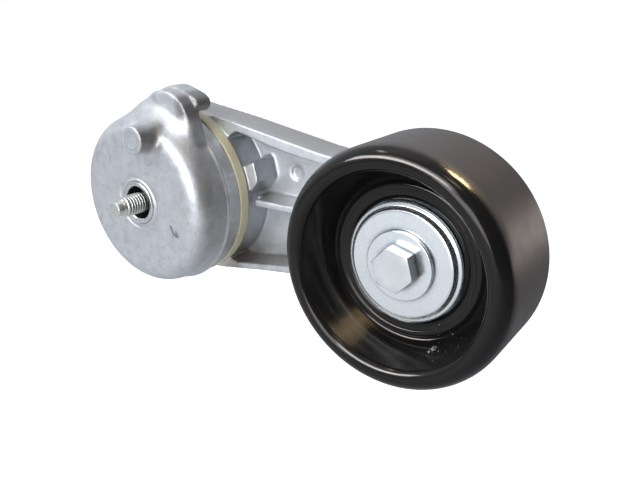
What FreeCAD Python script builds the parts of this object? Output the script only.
import FreeCAD, Part
import math
import os
import Sketcher
import PartDesign
from FreeCAD import Placement, Rotation, Vector

# Automatic belt tensioner with a smooth idler pulley.
# Millimetres. Origin: the pivot axis where it meets the flat mounting face.
# +Y runs along the pivot axis from the mounting face back through the arm,
# +X runs from the pivot axis to the pulley axis, +Z is up. Front means towards -Y.

doc = FreeCAD.newDocument("belt_tensioner")
sheet = doc.addObject("Spreadsheet::Sheet", "dims")

# alias, value, note; "front" and "back" values are distances from the mounting face
TABLE = [
    # arm and pulley layout
    ("arm_length", 115.5, "pivot axis to pulley axis"),
    # spring case
    ("case_wall_front", 33.0, "wall radius at the mounting face"),
    ("case_wall_back", 34.8, "wall radius just in front of the rim bead"),
    ("case_rim", 35.5, "rim bead radius"),
    ("case_rim_front", 13.7, "front of the rim bead"),
    ("case_rim_back", 15.0, "back of the rim bead"),
    ("case_collar", 34.7, "collar radius behind the bead"),
    ("case_depth", 21.0, "mounting face to back edge"),
    ("case_edge_round", 7.6, "round between face and wall"),
    ("case_floor", 4.0, "floor thickness"),
    ("case_bore", 32.0, "bore that the damper ring rubs in"),
    ("case_inner", 30.0, "spring space radius"),
    ("case_hub", 12.5, "inner hub radius"),
    ("case_hub_back", 12.0, "back of the inner hub"),
    ("lip_groove_in", 9.3, "groove around the tube end, inside"),
    ("lip_groove_out", 10.8, "groove around the tube end, outside"),
    ("ear_front", 8.0, "front of the ear"),
    ("ear_back", 15.0, "back of the ear root"),
    ("tab_back", 21.3, "back of the ear tab"),
    ("boss_across", 7.3, "locator boss, X of its axis"),
    ("boss_up", 26.4, "locator boss, Z of its axis"),
    ("boss_radius", 5.5, "locator boss radius"),
    ("boss_reach", 6.3, "locator boss height in front of the face"),
    # pivot tube, bolt
    ("tube_bore", 6.44, "pivot tube bore radius"),
    ("tube_outer", 8.5, "pivot tube outer radius"),
    ("tube_spigot", 7.8, "staked end radius"),
    ("tube_front", 0.5, "tube end stands proud of the face"),
    ("tube_shoulder", 40.5, "shoulder for the end plate"),
    ("tube_back", 43.4, "back end of the tube"),
    ("bolt_thread", 4.0, "M8 thread major radius"),
    ("bolt_shank", 3.6, "reduced shank radius"),
    ("bolt_thread_front", 6.5, "thread start in front of the face"),
    ("bolt_tip", 11.5, "dog point tip in front of the face"),
    ("bolt_dog", 2.8, "dog point radius"),
    ("bolt_flange", 8.9, "bolt head flange radius"),
    ("bolt_head", 8.0, "head height with flange"),
    ("bolt_hex", 13.0, "mounting bolt hexagon across flats"),
    # arm
    ("arm_cup", 34.5, "arm cup radius"),
    ("arm_cup_inner", 31.0, "arm cup inner radius"),
    ("arm_cup_front", 25.5, "front edge of the cup"),
    ("arm_front", 26.5, "front edge of the flanges"),
    ("arm_web", 38.0, "front face of the web"),
    ("arm_back", 40.5, "back face of the web"),
    ("arm_parting", 34.0, "parting line along the flanges"),
    ("arm_end", 19.5, "end radius around the pulley axis"),
    ("arm_hub", 14.5, "hub radius"),
    ("arm_hub_front", 13.8, "front of the hub"),
    ("arm_bore", 10.5, "hub bore radius"),
    ("arm_boss", 12.0, "pulley boss radius"),
    ("arm_boss_front", 18.0, "front of the pulley boss"),
    ("arm_recess", 19.0, "recess for the thrust washer"),
    ("arm_recess_floor", 38.8, "floor of the recess"),
    ("lug_in", 28.0, "inner end of the lug, inside the cup wall"),
    ("lug_tip", 38.8, "X of the lug's farthest corner"),
    ("lug_front", 26.6, "front face of the lug"),
    ("dimple_across", 49.4, "dimple, X"),
    ("dimple_up", 10.8, "dimple, Z"),
    ("dimple_radius", 2.8, "dimple radius"),
    ("dimple_depth", 1.0, "dimple depth"),
    # bushing, washer, plate
    ("bush_bore", 8.56, "pivot bushing bore radius"),
    ("washer_outer", 18.0, "thrust washer radius"),
    ("plate_outer", 18.5, "end plate radius"),
    # damper ring
    ("ring_outer", 35.05, "damper ring flange radius"),
    ("ring_front", 21.08, "front of the flange"),
    ("ring_skirt", 31.92, "skirt outer radius"),
    ("ring_skirt_in", 30.2, "skirt inner radius"),
    ("ring_skirt_front", 12.5, "front of the skirt"),
    # spring
    ("coil_radius", 25.0, "mean coil radius"),
    ("coil_wire", 2.4, "wire radius"),
    ("coil_start", 6.9, "first coil centre"),
    ("coil_pitch", 5.5, "pitch"),
    ("coil_rise", 27.5, "rise of the whole coil"),
    # pulley
    ("pulley_outer", 38.0, "belt surface radius"),
    ("pulley_front", 8.6, "front edge in front of the mounting face"),
    ("pulley_back", 23.8, "back edge"),
    ("pulley_mouth", 30.2, "bowl mouth radius"),
    ("pulley_skin", 2.6, "sheet thickness"),
    ("pulley_bowl", 28.4, "bowl radius at its floor"),
    ("pulley_floor", 9.2, "bowl floor"),
    ("pulley_hub", 25.0, "hub ring outer radius"),
    ("pulley_hub_in", 20.8, "hub ring inner radius at its nose"),
    ("pulley_hub_front", 4.3, "nose of the hub ring"),
    ("pulley_seat_back", 17.6, "back of the bearing seat"),
    # bearing 17 x 40 x 12
    ("bearing_outer", 20.0, "bearing outer radius"),
    ("bearing_bore", 8.5, "bearing bore radius"),
    ("bearing_front", 5.0, "front face of the bearing"),
    ("bearing_width", 12.0, "bearing width"),
    ("bearing_pitch", 14.25, "ball circle radius"),
    ("ball_radius", 3.37, "ball radius"),
    ("race_in", 11.9, "inner race shoulder radius"),
    ("race_out", 16.7, "outer race shoulder radius"),
    # shield, washer, bolt
    ("shield_outer", 19.29, "dust shield radius"),
    ("shield_front", 3.11, "front of the outer ring of the shield"),
    ("shield_step", 17.4, "radius of the raised disc"),
    ("shield_raised", 1.5, "front of the raised disc"),
    ("shield_skin", 0.9, "shield thickness"),
    ("sleeve_flange", 11.5, "sleeve flange radius"),
    ("clamp_washer", 11.1, "washer radius under the bolt head"),
    ("head_top", 4.4, "bolt head top in front of the washer"),
    ("pulley_hex", 12.5, "pulley bolt hexagon across flats"),
    ("pulley_bolt_end", 39.5, "end of the pulley bolt"),
]
for row, (alias, value, note) in enumerate(TABLE, 1):
    sheet.set("A%d" % row, alias)
    sheet.set("B%d" % row, "%.4f" % value)
    sheet.setAlias("B%d" % row, alias)
    sheet.set("C%d" % row, note)
doc.recompute()


# --- dimensions that carry their sheet expression ------------------------------
class Dim:
    """A length with the sheet expression that drives it."""

    def __init__(self, value, text):
        self.value = float(value)
        self.text = text

    def __add__(self, other):
        other = dim(other)
        return Dim(self.value + other.value, "(%s + %s)" % (self.text, other.text))

    def __sub__(self, other):
        other = dim(other)
        return Dim(self.value - other.value, "(%s - %s)" % (self.text, other.text))

    def __mul__(self, factor):
        return Dim(self.value * factor, "(%s * %.8f)" % (self.text, factor))

    def __neg__(self):
        return Dim(-self.value, "(0 - %s)" % self.text)


def dim(length):
    """Turn a plain number into a Dim."""
    return length if isinstance(length, Dim) else Dim(length, "%.6f" % float(length))


class Dims:
    """dims.case_bore is the Dim driven by the sheet's alias case_bore."""

    def __getattr__(self, alias):
        return Dim(sheet.get(alias), "dims.%s" % alias)


dims = Dims()
pieces = []


# --- sketches ------------------------------------------------------------------
def make_body(label):
    body = doc.addObject("PartDesign::Body", label)
    pieces.append(body)
    return body


def new_sketch(body, name, y):
    """Sketch (X, Z) across the pivot axis at y or, without y, (X, Y) along the axis."""
    sketch = body.newObject("Sketcher::SketchObject", name)
    role = "XY_Plane" if y is None else "XZ_Plane"
    plane = [f for f in body.Origin.OriginFeatures if f.Role == role][0]
    sketch.AttachmentSupport = [(plane, "")]
    sketch.MapMode = "FlatFace"
    if y is not None:
        # the XZ plane's normal is -Y
        sketch.setExpression("AttachmentOffset.Base.z", (-dim(y)).text)
    return sketch


def pin_point(sketch, geo, pos, axis, value):
    """Fix one coordinate of a sketch point by a driving dimension from the origin."""
    kind = ("DistanceX", "DistanceY")[axis]
    if abs(value.value) < 1e-9:
        sketch.addConstraint(Sketcher.Constraint("PointOnObject", geo, pos, (-2, -1)[axis]))
        return
    # a distance has to be positive, so the two points swap on the negative side
    if value.value > 0:
        ends = (-1, 1, geo, pos)
    else:
        ends = (geo, pos, -1, 1)
        value = -value
    number = sketch.addConstraint(Sketcher.Constraint(kind, *ends, value.value))
    sketch.setExpression("Constraints[%d]" % number, value.text)


def polygon(body, name, corners, y=None):
    """Closed polygon whose corners are dimensioned from the origin."""
    sketch = new_sketch(body, name, y)
    corners = [(dim(a), dim(b)) for a, b in corners]
    vectors = [Vector(a.value, b.value, 0) for a, b in corners]
    count = len(corners)
    lines = [Part.LineSegment(vectors[i], vectors[(i + 1) % count]) for i in range(count)]
    sketch.addGeometry(lines, False)
    for i in range(count):
        sketch.addConstraint(Sketcher.Constraint("Coincident", i, 2, (i + 1) % count, 1))
    for i in range(count):
        pin_point(sketch, i, 1, 0, corners[i][0])
        pin_point(sketch, i, 1, 1, corners[i][1])
    return sketch


def circle(body, name, centre, radius, y=None):
    sketch = new_sketch(body, name, y)
    across, up = dim(centre[0]), dim(centre[1])
    centre_point = Vector(across.value, up.value, 0)
    geo = sketch.addGeometry(Part.Circle(centre_point, Vector(0, 0, 1), radius.value), False)
    pin_point(sketch, geo, 3, 0, across)
    pin_point(sketch, geo, 3, 1, up)
    number = sketch.addConstraint(Sketcher.Constraint("Radius", geo, radius.value))
    sketch.setExpression("Constraints[%d]" % number, radius.text)
    return sketch


def polar(radius, degrees):
    """Point at an angle measured from +X towards +Z."""
    angle = math.radians(degrees)
    return radius * math.cos(angle), radius * math.sin(angle)


def sector(inner, outer, start, end):
    """Four-sided block between two radii and two angles."""
    return [polar(inner, start), polar(outer, start), polar(outer, end), polar(inner, end)]


def fan(angles, outer_radii, inner_radius):
    """Closed band, out along the outer radii and back along the inner one."""
    outer = [polar(radius, angle) for angle, radius in zip(angles, outer_radii)]
    return outer + [polar(inner_radius, angle) for angle in reversed(angles)]


def rectangle(left, bottom, right, top):
    return [(left, bottom), (right, bottom), (right, top), (left, top)]


def hexagon(flats, turn_degrees=0.0):
    corners = []
    for k in range(6):
        along, up = polar(1.0, 60 * k + turn_degrees)
        corners.append((flats * (along / math.sqrt(3)), flats * (up / math.sqrt(3))))
    return corners


# --- solid features --------------------------------------------------------------
def revolve(body, name, profile, kind="Revolution"):
    """Add (Revolution) or cut (Groove) a full turn about the body's Y axis."""
    feature = body.newObject("PartDesign::" + kind, name)
    feature.Profile = profile
    feature.ReferenceAxis = (profile, ["V_Axis"])
    feature.Angle = 360.0
    doc.recompute()
    return feature


def turn(body, name, points):
    """Revolve a (radius, y) profile."""
    return revolve(body, name, polygon(body, name + "_profile", points))


def pad(body, name, sketch, length, taper=0.0, backwards=True):
    """Pad towards +Y, or towards -Y if not backwards. A positive taper widens."""
    feature = body.newObject("PartDesign::Pad", name)
    feature.Profile = sketch
    feature.setExpression("Length", dim(length).text)
    feature.Reversed = backwards
    if taper:
        feature.TaperAngle = taper
    doc.recompute()
    return feature


def pocket(body, name, sketch, length):
    """Cut towards +Y; a pocket runs against its sketch's normal."""
    feature = body.newObject("PartDesign::Pocket", name)
    feature.Profile = sketch
    feature.setExpression("Length", dim(length).text)
    feature.Reversed = False
    doc.recompute()
    return feature


def ring_edges(feature, radius, y, x=0.0, z=0.0):
    """Names of the circular edges with this radius and centre."""
    near = 0.02
    names = []
    for i, edge in enumerate(feature.Shape.Edges, 1):
        curve = edge.Curve
        if not isinstance(curve, Part.Circle):
            continue
        gaps = (curve.Radius - radius, curve.Center.y - y, curve.Center.x - x, curve.Center.z - z)
        if all(abs(gap) < near for gap in gaps):
            names.append("Edge%d" % i)
    return names


def soften(body, name, base, ring, size, kind="Fillet"):
    """Fillet or chamfer the ring edges of base; ring is (radius, y) or (radius, y, x, z)."""
    edges = ring_edges(base, *[dim(length).value for length in ring])
    if not edges:
        raise RuntimeError("no edges for " + name)
    feature = body.newObject("PartDesign::" + kind, name)
    feature.Base = (base, edges)
    feature.setExpression("Radius" if kind == "Fillet" else "Size", dim(size).text)
    doc.recompute()
    return feature


def bevel_head(body, name, profile_name, top, outward, inner, outer):
    """Cut a cone off a hexagon head's top corners; outward is the Y sign out of the top."""
    clearance = 0.1
    drop = 0.95
    above = top + outward * clearance
    points = [(inner, above), (outer, above), (outer, top - outward * drop)]
    revolve(body, name, polygon(body, profile_name, points), "Groove")


def move_to_pulley(body):
    body.setExpression("Placement.Base.x", "dims.arm_length")


def turned_piece(label, feature_name, points):
    """Whole piece turned about the pivot axis."""
    body = make_body(label)
    turn(body, feature_name, points)
    return body


# --- spring case -----------------------------------------------------------------
# (X, Z) outline of the ear on top of the case, gentle on its -X side, steep on +X
EAR_OUTLINE = [
    (-13.6, 31.4), (-9.4, 34.3), (-2.6, 38.7), (4.4, 42.2), (8.4, 43.3), (13.2, 42.9),
    (17.2, 41.2), (20.0, 38.6), (22.0, 35.0), (23.5, 30.6), (24.9, 26.0), (26.7, 21.3),
    (26.1, 20.4), (21.3, 25.4), (15.5, 29.2), (9.1, 31.8), (2.3, 33.0), (-4.6, 32.8),
    (-11.3, 31.1),
]
# (X, Z) outline of the tab behind the ear
TAB_OUTLINE = [
    (-5.0, 37.4), (4.6, 43.2), (8.3, 44.3), (11.2, 44.1), (16.0, 42.7), (19.8, 41.3),
    (21.7, 39.9), (22.3, 38.4), (21.9, 36.4), (20.2, 35.0), (13.0, 36.6), (5.0, 38.6),
    (-3.0, 35.6),
]
# (angle, outer radius at the back) stations of the slope in front of the ear
SLOPE_STATIONS = [
    (112.0, 33.2), (105.3, 34.4), (99.0, 35.9), (93.8, 37.3), (84.0, 38.3), (79.0, 38.5),
    (72.9, 38.5), (67.3, 38.5), (62.6, 38.4), (57.8, 38.0), (52.5, 36.9), (46.2, 34.6),
    (40.0, 33.6),
]


def case_shell(case):
    groove_depth = 0.45
    groove_flank = 0.3
    step_front, step_back = 11.0, 11.5  # step from the spring space to the bore
    floor_corner = 1.0
    shell = turn(case, "case_shell", [
        (dims.tube_outer, 0),
        (dims.lip_groove_in, 0),
        (dims.lip_groove_in + groove_flank, groove_depth),
        (dims.lip_groove_out - groove_flank, groove_depth),
        (dims.lip_groove_out, 0),
        (dims.case_wall_front, 0),
        (dims.case_wall_back, dims.case_rim_front - 0.5),
        (dims.case_rim, dims.case_rim_front),
        (dims.case_rim, dims.case_rim_back - 0.4),
        (dims.case_collar, dims.case_rim_back),
        (dims.case_collar - 0.15, dims.case_depth),
        (dims.case_bore, dims.case_depth),
        (dims.case_bore, step_back),
        (dims.case_inner, step_front),
        (dims.case_inner, dims.case_floor + floor_corner),
        (dims.case_inner - floor_corner, dims.case_floor),
        (dims.case_hub, dims.case_floor),
        (dims.case_hub, dims.case_hub_back),
        (dims.tube_outer, dims.case_hub_back),
    ])
    soften(case, "case_front_round", shell, (dims.case_wall_front, 0), dims.case_edge_round)


def case_ear(case):
    tab_overlap = 1.5
    ear = polygon(case, "ear_outline", EAR_OUTLINE, dims.ear_front)
    pad(case, "ear", ear, dims.ear_back - dims.ear_front)
    tab = polygon(case, "tab_outline", TAB_OUTLINE, dims.ear_back - tab_overlap)
    pad(case, "ear_tab", tab, dims.tab_back - dims.ear_back + tab_overlap)

    # slope that carries the case's front round up onto the ear
    angles = [angle for angle, reach in SLOPE_STATIONS]
    reaches = [reach for angle, reach in SLOPE_STATIONS]
    front_band = fan(angles, [30.1] * len(angles), 28.4)
    back_band = fan(angles, reaches, 31.6)
    front = polygon(case, "ear_slope_front", front_band, 1.62)
    back = polygon(case, "ear_slope_back", back_band, dims.ear_front + 0.1)
    slope = case.newObject("PartDesign::AdditiveLoft", "ear_slope")
    slope.Profile = front
    slope.Sections = [back]
    slope.Ruled = True
    doc.recompute()


def case_locator_boss(case):
    centre = (dims.boss_across, dims.boss_up)
    front = -dims.boss_reach
    root_depth = 3.6
    root_taper = 16.0
    disc = circle(case, "boss_circle", centre, dims.boss_radius, front)
    boss = pad(case, "locator_boss", disc, dims.boss_reach)
    soften(case, "boss_edge", boss, (dims.boss_radius, front) + centre, 0.5, "Chamfer")
    # flared root that runs back into the case's front round
    root = circle(case, "boss_root_circle", centre, dims.boss_radius, 0)
    pad(case, "locator_boss_root", root, root_depth, taper=root_taper)


def abutment_corners(bottom, top):
    """Block centred on the coil radius, between two heights."""
    half_width = 2.6
    return rectangle(dims.coil_radius - half_width, bottom, dims.coil_radius + half_width, top)


def build_spring_case():
    case = make_body("spring_case")
    case_shell(case)
    case_ear(case)
    case_locator_boss(case)
    # stop lugs inside, for the arm's tooth, and the spring abutment; all sunk into the floor
    root = dims.case_floor - 0.5
    stop_inner, stop_outer = 11.5, 19.0
    stop_length = 9.5
    for name, start, end in (("stop_rest", 189.6, 204.0), ("stop_full", 116.0, 130.4)):
        corners = sector(stop_inner, stop_outer, start, end)
        pad(case, name, polygon(case, name + "_outline", corners, root), stop_length)
    abutment = polygon(case, "abutment_outline", abutment_corners(-5.0, -0.25), root)
    pad(case, "spring_abutment", abutment, 6.0)


# --- pivot tube, mounting bolt and its retainer --------------------------------------
def build_pivot_tube():
    bore_chamfer = 0.5
    edge_chamfer = 0.4
    turned_piece("pivot_tube", "tube_turned", [
        (dims.tube_bore + bore_chamfer, -dims.tube_front),
        (dims.tube_outer - edge_chamfer, -dims.tube_front),
        (dims.tube_outer, -(dims.tube_front - edge_chamfer)),
        (dims.tube_outer, dims.tube_shoulder),
        (dims.tube_spigot, dims.tube_shoulder),
        (dims.tube_spigot, dims.tube_back),
        (dims.tube_bore, dims.tube_back),
        (dims.tube_bore, -(dims.tube_front - bore_chamfer)),
    ])


def build_mounting_bolt():
    seat = dims.tube_back
    tip_chamfer = 0.5
    flange_edge = 1.2
    flange_back = seat + 2.4
    cone_radius = 6.6
    hexagon_start = 1.5  # inside the flange, behind the seat
    bolt = turned_piece("mounting_bolt", "bolt_turned", [
        (0, -dims.bolt_tip),
        (dims.bolt_dog - tip_chamfer, -dims.bolt_tip),
        (dims.bolt_dog, -(dims.bolt_tip - tip_chamfer)),
        (dims.bolt_dog, -(dims.bolt_thread_front + 1.0)),
        (dims.bolt_thread, -dims.bolt_thread_front),
        (dims.bolt_thread, 0),
        (dims.bolt_shank, 0.4),
        (dims.bolt_shank, seat),
        (dims.bolt_flange, seat),
        (dims.bolt_flange, seat + flange_edge),
        (cone_radius, flange_back),
        (0, flange_back),
    ])
    outline = polygon(bolt, "bolt_hexagon_outline", hexagon(dims.bolt_hex), seat + hexagon_start)
    pad(bolt, "bolt_hexagon", outline, dims.bolt_head - hexagon_start)
    bevel_head(bolt, "bolt_head_bevel", "bolt_cap_profile", top=dims.bolt_head + seat,
               outward=1, inner=6.9, outer=8.6)


def build_bolt_retainer():
    """Collar that keeps the mounting bolt captive in the pivot tube."""
    front, back = 22.0, 30.0
    chamfer = 0.6
    inner = dims.bolt_shank + 0.05
    outer = dims.tube_bore - 0.05
    face = dims.tube_bore - 0.45
    turned_piece("bolt_retainer", "retainer_turned", [
        (inner, front), (face, front), (outer, front + chamfer),
        (outer, back - chamfer), (face, back), (inner, back),
    ])


# --- torsion spring and damper ring ----------------------------------------------------
def build_torsion_spring():
    helix = doc.addObject("Part::Helix", "coil_path")
    helix.LocalCoord = "Left-handed"
    helix.Style = "New style"
    helix.setExpression("Pitch", "dims.coil_pitch")
    helix.setExpression("Height", "dims.coil_rise")
    helix.setExpression("Radius", "dims.coil_radius")
    wire = doc.addObject("Part::Circle", "coil_section")
    wire.setExpression("Radius", "dims.coil_wire")
    wire.Placement = Placement(Vector(0, 0, 0), Rotation(Vector(1, 0, 0), 90))
    wire.setExpression("Placement.Base.x", "dims.coil_radius")
    doc.recompute()
    coil = doc.addObject("Part::Sweep", "torsion_spring")
    coil.Sections = [wire]
    coil.Spine = (helix, ["Edge%d" % (i + 1) for i in range(len(helix.Shape.Edges))])
    coil.Solid = True
    coil.Frenet = True
    # lay the helix axis along +Y
    coil.Placement = Placement(Vector(0, 0, 0), Rotation(Vector(1, 0, 0), -90))
    coil.setExpression("Placement.Base.y", "dims.coil_start")
    doc.recompute()
    pieces.append(coil)


def build_damper_ring():
    chamfer = 0.3
    turned_piece("damper_ring", "damper_turned", [
        (dims.ring_skirt_in, dims.ring_skirt_front),
        (dims.ring_skirt - 0.5, dims.ring_skirt_front),
        (dims.ring_skirt, dims.ring_skirt_front + 0.8),
        (dims.ring_skirt, dims.ring_front),
        (dims.ring_outer - chamfer, dims.ring_front),
        (dims.ring_outer, dims.ring_front + chamfer),
        (dims.ring_outer, dims.arm_cup_front - chamfer),
        (dims.ring_outer - chamfer, dims.arm_cup_front),
        (dims.ring_skirt_in, dims.arm_cup_front),
    ])


# --- arm -----------------------------------------------------------------------------------
# (X, Z) outline of the arm at its parting line
ARM_OUTLINE = [
    (2.0, 34.5), (10.3, 33.7), (29.5, 30.9), (49.3, 27.4), (67.7, 24.2), (92.0, 21.3),
    (dims.arm_length + 2.0, dims.arm_end - 0.1),
    (dims.arm_length + 2.0, -(dims.arm_end - 0.1)),
    (92.0, -21.9), (72.0, -24.7), (53.8, -27.5), (38.4, -29.6), (18.4, -32.9), (2.0, -34.5),
]
# (X, Z) outline of the hollow between the flanges
ARM_HOLLOW = [
    (6.0, 12.0), (24.6, 23.4), (26.2, 25.4), (28.6, 26.8), (33.7, 25.8), (40.0, 24.1),
    (46.7, 22.5), (55.1, 21.0), (68.5, 19.4), (92.0, 16.9),
    (dims.arm_length, dims.arm_end - 3.6), (dims.arm_length + 13.0, 8.0),
    (dims.arm_length + 15.6, 0),
    (dims.arm_length + 13.0, -8.0), (dims.arm_length, -(dims.arm_end - 3.6)),
    (92.0, -17.5), (72.0, -20.6), (52.8, -23.8), (38.4, -26.0), (26.0, -28.0),
    (22.5, -27.0), (6.0, -12.0),
]
# (X, Z) outline of the lug: its top side runs out from the cup, its far side is square to that
LUG_OUTLINE = [
    (dims.lug_in, 11.6), (dims.lug_tip - 1.7, 15.8), (dims.lug_tip, 8.3),
    (dims.lug_tip - 3.3, 4.3), (dims.lug_in + 2.0, 1.5), (dims.lug_in, 1.5),
]
# (X, Z) outline of the rib along the middle of the hollow
RIB_OUTLINE = [
    (37.2, 0.9), (dims.arm_length - 8.0, 1.2), (dims.arm_length - 8.0, -1.6), (37.2, -1.9),
]
PIVOT = (0, 0)
PULLEY_AXIS = (dims.arm_length, 0)


def arm_channel(arm):
    parting = dims.arm_parting
    front_draft, back_draft = -7.0, -3.5
    outline = polygon(arm, "arm_outline", ARM_OUTLINE, parting)
    end_disc = circle(arm, "arm_end_circle", PULLEY_AXIS, dims.arm_end, parting)
    # the draft runs both ways from the parting line, which leaves a ridge along the flanges
    for part, sketch in (("channel", outline), ("end_round", end_disc)):
        pad(arm, "arm_%s_front" % part, sketch, parting - dims.arm_front,
            taper=front_draft, backwards=False)
        pad(arm, "arm_%s_back" % part, sketch, dims.arm_back - parting, taper=back_draft)
    hollow = polygon(arm, "arm_hollow", ARM_HOLLOW, dims.arm_front)
    pocket(arm, "arm_hollow_cut", hollow, dims.arm_web - dims.arm_front)


def arm_additions(arm):
    """Cup disc, lug, rib and pulley boss, before the cup is hollowed."""
    overlap = 1.0  # how far pads run into the web
    cup = circle(arm, "cup_circle", PIVOT, dims.arm_cup, dims.arm_cup_front)
    pad(arm, "arm_cup", cup, dims.arm_back - dims.arm_cup_front)
    lug = polygon(arm, "lug_outline", LUG_OUTLINE, dims.lug_front)
    pad(arm, "arm_lug", lug, dims.arm_web - dims.lug_front + overlap, taper=4.0)
    rib = polygon(arm, "rib_outline", RIB_OUTLINE, dims.arm_front)
    pad(arm, "middle_rib", rib, dims.arm_web - dims.arm_front + overlap)
    # lower end of the rib that meets the cup
    foot_drop = 5.0
    foot = polygon(arm, "rib_foot_outline", rectangle(31.0, -1.8, 40.0, 0.8),
                   dims.arm_front + foot_drop)
    pad(arm, "middle_rib_foot", foot, dims.arm_web - dims.arm_front - (foot_drop - overlap))
    boss = circle(arm, "arm_boss_circle", PULLEY_AXIS, dims.arm_boss, dims.arm_boss_front)
    boss_proud = 1.2  # behind the web
    pad(arm, "pulley_boss", boss, dims.arm_back - dims.arm_boss_front + boss_proud)


def arm_cup_interior(arm):
    hollow = circle(arm, "cup_hollow", PIVOT, dims.arm_cup_inner, dims.arm_cup_front)
    pocket(arm, "cup_hollow_cut", hollow, dims.arm_web - dims.arm_cup_front)
    hub = circle(arm, "arm_hub_circle", PIVOT, dims.arm_hub, dims.arm_hub_front)
    pad(arm, "arm_hub", hub, dims.arm_back - dims.arm_hub_front)
    tooth = polygon(arm, "tooth_outline", sector(13.2, 18.6, 171.0, 189.0), 8.0)
    pad(arm, "stop_tooth", tooth, 10.0)
    abutment = polygon(arm, "arm_abutment_outline", abutment_corners(0.25, 5.0), 32.4)
    pad(arm, "arm_spring_abutment", abutment, 6.0)


def arm_bores(arm):
    dimple_centre = (dims.dimple_across, dims.dimple_up)
    dimple_lead = 1.0  # the cut starts this far in front of the web
    # feature, sketch, centre, radius, y where the cut starts, length
    for name, sketch_name, centre, radius, start, length in (
        ("washer_recess", "recess_circle", PIVOT, dims.arm_recess, dims.arm_recess_floor, 4.0),
        ("pivot_bore", "bore_circle", PIVOT, dims.arm_bore, 5.0, 40.0),
        ("bolt_bore", "bolt_bore_circle", PULLEY_AXIS, dims.bolt_thread, 15.0, 30.0),
        ("dimple", "dimple_circle", dimple_centre, dims.dimple_radius,
         dims.arm_web - dimple_lead, dims.dimple_depth + dimple_lead),
    ):
        pocket(arm, name, circle(arm, sketch_name, centre, radius, start), length)


def build_arm():
    arm = make_body("arm")
    arm_channel(arm)
    arm_additions(arm)
    arm_cup_interior(arm)
    arm_bores(arm)


# --- pivot bushing, thrust washer, end plate --------------------------------------------
def build_pivot_bushing():
    front = dims.arm_hub_front
    back = dims.arm_recess_floor - 0.2
    corners = rectangle(dims.bush_bore, front, dims.arm_bore, back)
    turned_piece("pivot_bushing", "bushing_turned", corners)


def build_thrust_washer():
    bore = dims.tube_outer + 0.1
    back = dims.tube_shoulder - 0.05
    corners = rectangle(bore, dims.arm_recess_floor, dims.washer_outer, back)
    turned_piece("thrust_washer", "washer_turned", corners)


def build_end_plate():
    chamfer = 0.8
    back = dims.tube_back - 0.4
    turned_piece("end_plate", "plate_turned", [
        (dims.tube_spigot, dims.tube_shoulder),
        (dims.plate_outer - chamfer, dims.tube_shoulder),
        (dims.plate_outer, dims.tube_shoulder + chamfer),
        (dims.plate_outer, dims.tube_back - 0.9),
        (dims.plate_outer - chamfer, back),
        (dims.tube_spigot, back),
    ])


# --- pulley --------------------------------------------------------------------------------
def build_pulley():
    skin = dims.pulley_skin
    front = -dims.pulley_front
    fold_back = -4.2  # back of the front fold between the bowl and the belt wall
    floor_back = dims.pulley_floor + skin
    pulley = make_body("pulley")
    rim = turn(pulley, "pulley_pressed", [
        (dims.pulley_outer, dims.pulley_back),
        (dims.pulley_outer, front),
        (dims.pulley_mouth, front),
        (dims.pulley_bowl, dims.pulley_floor),
        (dims.pulley_hub + 0.3, dims.pulley_floor),
        (dims.pulley_hub, dims.pulley_hub_front),
        (dims.pulley_hub_in, dims.pulley_hub_front),
        (dims.bearing_outer, dims.bearing_front),
        (dims.bearing_outer, dims.pulley_seat_back),
        (dims.bearing_outer + skin, dims.pulley_seat_back),
        (dims.bearing_outer + skin, floor_back),
        (dims.pulley_bowl + skin - 0.4, floor_back),
        (dims.pulley_mouth + skin, fold_back),
        (dims.pulley_outer - skin, fold_back),
        (dims.pulley_outer - skin, dims.pulley_back),
    ])
    for name, ring, size in (
        ("rim_front_round", (dims.pulley_outer, front), 4.7),
        ("mouth_round", (dims.pulley_mouth, front), 3.0),
        ("rim_back_round", (dims.pulley_outer, dims.pulley_back), 2.3),
        ("hub_nose_round", (dims.pulley_hub, dims.pulley_hub_front), 1.8),
        ("bowl_floor_round", (dims.pulley_bowl, dims.pulley_floor), 2.6),
    ):
        rim = soften(pulley, name, rim, ring, size)
    move_to_pulley(pulley)


# --- bearing ---------------------------------------------------------------------------------
BEARING_MIDDLE = dims.bearing_front + dims.bearing_width * 0.5
BEARING_BACK = dims.bearing_front + dims.bearing_width
BALL_COUNT = 8


def build_race(side, profile, track_radius):
    """One race with its round ball track; side is inner or outer."""
    race = turned_piece("bearing_%s_race" % side, side + "_race_turned", profile)
    name = side + "_ball_track"
    track = circle(race, name + "_profile", (track_radius, BEARING_MIDDLE),
                   dims.ball_radius + 0.08)
    revolve(race, name, track, "Groove")
    move_to_pulley(race)


def build_races():
    front, back = dims.bearing_front, BEARING_BACK
    track_shift = 0.06  # track centre from the ball circle, away from its race
    chamfer = 0.6
    build_race("outer", [
        (dims.race_out, front), (dims.bearing_outer - chamfer, front),
        (dims.bearing_outer, front + chamfer), (dims.bearing_outer, back - chamfer),
        (dims.bearing_outer - chamfer, back), (dims.race_out, back),
    ], dims.bearing_pitch - track_shift)
    chamfer = 0.5
    build_race("inner", [
        (dims.bearing_bore, front + chamfer), (dims.bearing_bore + chamfer, front),
        (dims.race_in, front), (dims.race_in, back),
        (dims.bearing_bore + chamfer, back), (dims.bearing_bore, back - chamfer),
    ], dims.bearing_pitch + track_shift)


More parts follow.
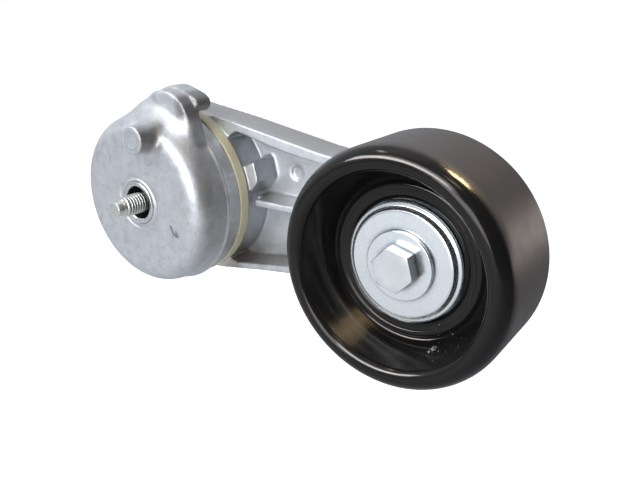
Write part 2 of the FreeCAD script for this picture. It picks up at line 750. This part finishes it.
def ball_set(prefix, radius):
    """Compound of spheres spaced evenly round the ball circle."""
    balls = []
    step = 360.0 / BALL_COUNT
    for k in range(BALL_COUNT):
        along, up = polar(1.0, step * k + step / 2)
        ball = doc.addObject("Part::Sphere", "%s_%d" % (prefix, k + 1))
        ball.setExpression("Radius", radius.text)
        across = dims.arm_length + dims.bearing_pitch * along
        ball.setExpression("Placement.Base.x", across.text)
        ball.setExpression("Placement.Base.y", BEARING_MIDDLE.text)
        ball.setExpression("Placement.Base.z", (dims.bearing_pitch * up).text)
        balls.append(ball)
    group = doc.addObject("Part::Compound", prefix)
    group.Links = balls
    doc.recompute()
    return group


def build_balls_and_cage():
    pieces.append(ball_set("bearing_balls", dims.ball_radius))
    pockets = ball_set("cage_pockets", dims.ball_radius + 0.1)
    cage_ring = doc.addObject("PartDesign::Body", "cage_ring")
    turn(cage_ring, "cage_turned",
         rectangle(13.1, BEARING_MIDDLE - 2.0, 15.4, BEARING_MIDDLE + 4.5))
    move_to_pulley(cage_ring)
    cage = doc.addObject("Part::Cut", "bearing_cage")
    cage.Base = cage_ring
    cage.Tool = pockets
    pieces.append(cage)


def build_seals():
    inset = 0.5
    thickness = 0.8
    inner = dims.race_in + 0.15
    for label, front in (
        ("bearing_seal_front", dims.bearing_front + inset),
        ("bearing_seal_rear", BEARING_BACK - (inset + thickness)),
    ):
        seal = turned_piece(label, label + "_turned", [
            (inner, front + 0.2), (dims.race_in + 0.9, front), (dims.race_out, front),
            (dims.race_out, front + thickness), (inner, front + thickness),
        ])
        move_to_pulley(seal)


# --- sleeve, shields, washer and bolt on the pulley axis -----------------------------------
SCREW_HOLE = dims.bolt_thread + 0.15
SLEEVE_FRONT = dims.shield_raised + dims.shield_skin


def build_bearing_sleeve():
    sleeve = turned_piece("bearing_sleeve", "sleeve_turned", [
        (SCREW_HOLE, SLEEVE_FRONT), (dims.sleeve_flange, SLEEVE_FRONT),
        (dims.sleeve_flange, dims.bearing_front), (dims.bearing_bore, dims.bearing_front),
        (dims.bearing_bore, BEARING_BACK), (SCREW_HOLE, BEARING_BACK),
    ])
    move_to_pulley(sleeve)


def build_front_shield():
    ring_back = dims.shield_front + dims.shield_skin
    chamfer = 0.3
    shield = turned_piece("dust_shield_front", "shield_pressed", [
        (SCREW_HOLE, dims.shield_raised),
        (dims.shield_step - 0.6, dims.shield_raised),
        (dims.shield_step, dims.shield_raised + 0.4),
        (dims.shield_step + 0.5, dims.shield_front),
        (dims.shield_outer - chamfer, dims.shield_front),
        (dims.shield_outer, dims.shield_front + chamfer),
        (dims.shield_outer, ring_back),
        (dims.shield_step - 0.4, ring_back),
        (dims.shield_step - 0.9, SLEEVE_FRONT),
        (SCREW_HOLE, SLEEVE_FRONT),
    ])
    move_to_pulley(shield)


def build_rear_shield():
    outer = 19.0
    ring_front = BEARING_BACK + 0.75
    ring_back = BEARING_BACK + 1.5
    disc_back = BEARING_BACK + 1.0
    shield = turned_piece("dust_shield_rear", "rear_shield_pressed", [
        (SCREW_HOLE, BEARING_BACK), (12.3, BEARING_BACK), (13.2, ring_front),
        (outer, ring_front), (outer, ring_back), (12.9, ring_back),
        (12.2, disc_back), (SCREW_HOLE, disc_back),
    ])
    move_to_pulley(shield)


def build_pulley_bolt_washer():
    bore = dims.bolt_thread + 0.2
    chamfer = 0.25
    washer = turned_piece("pulley_bolt_washer", "clamp_washer_turned", [
        (bore, 0), (dims.clamp_washer - chamfer, 0), (dims.clamp_washer, chamfer),
        (dims.clamp_washer, dims.shield_raised), (bore, dims.shield_raised),
    ])
    move_to_pulley(washer)


def build_pulley_bolt():
    end = dims.pulley_bolt_end
    chamfer = 1.0
    screw = turned_piece("pulley_bolt", "screw_turned", [
        (0, 0), (dims.bolt_thread, 0), (dims.bolt_thread, end - chamfer),
        (dims.bolt_thread - chamfer, end), (0, end),
    ])
    corners = hexagon(dims.pulley_hex, turn_degrees=46.0)
    head = polygon(screw, "screw_head_outline", corners, -dims.head_top)
    pad(screw, "screw_head", head, dims.head_top)
    bevel_head(screw, "screw_head_bevel", "screw_bevel_profile", top=-dims.head_top,
               outward=-1, inner=6.3, outer=8.0)
    move_to_pulley(screw)


# --- checks and export -------------------------------------------------------------------
def check_document():
    problems = []
    for obj in doc.Objects:
        if "Invalid" in obj.State or "Error" in obj.State:
            problems.append("%s state %s" % (obj.Name, obj.State))
    for piece in pieces:
        shape = piece.Shape
        if shape.isNull() or not shape.isValid():
            problems.append("%s has no valid shape" % piece.Label)
            continue
        wanted = BALL_COUNT if piece.Label == "bearing_balls" else 1
        if len(shape.Solids) != wanted:
            problems.append("%s has %d solids" % (piece.Label, len(shape.Solids)))
    if problems:
        raise RuntimeError("; ".join(problems))


for build in (
    build_spring_case, build_pivot_tube, build_mounting_bolt, build_bolt_retainer,
    build_torsion_spring, build_damper_ring, build_arm, build_pivot_bushing,
    build_thrust_washer, build_end_plate, build_pulley, build_races, build_balls_and_cage,
    build_seals, build_bearing_sleeve, build_front_shield, build_rear_shield,
    build_pulley_bolt_washer, build_pulley_bolt,
):
    build()
doc.recompute()
check_document()
os.makedirs("parts", exist_ok=True)
for piece in pieces:
    piece.Shape.exportStep("parts/%s.step" % piece.Label)
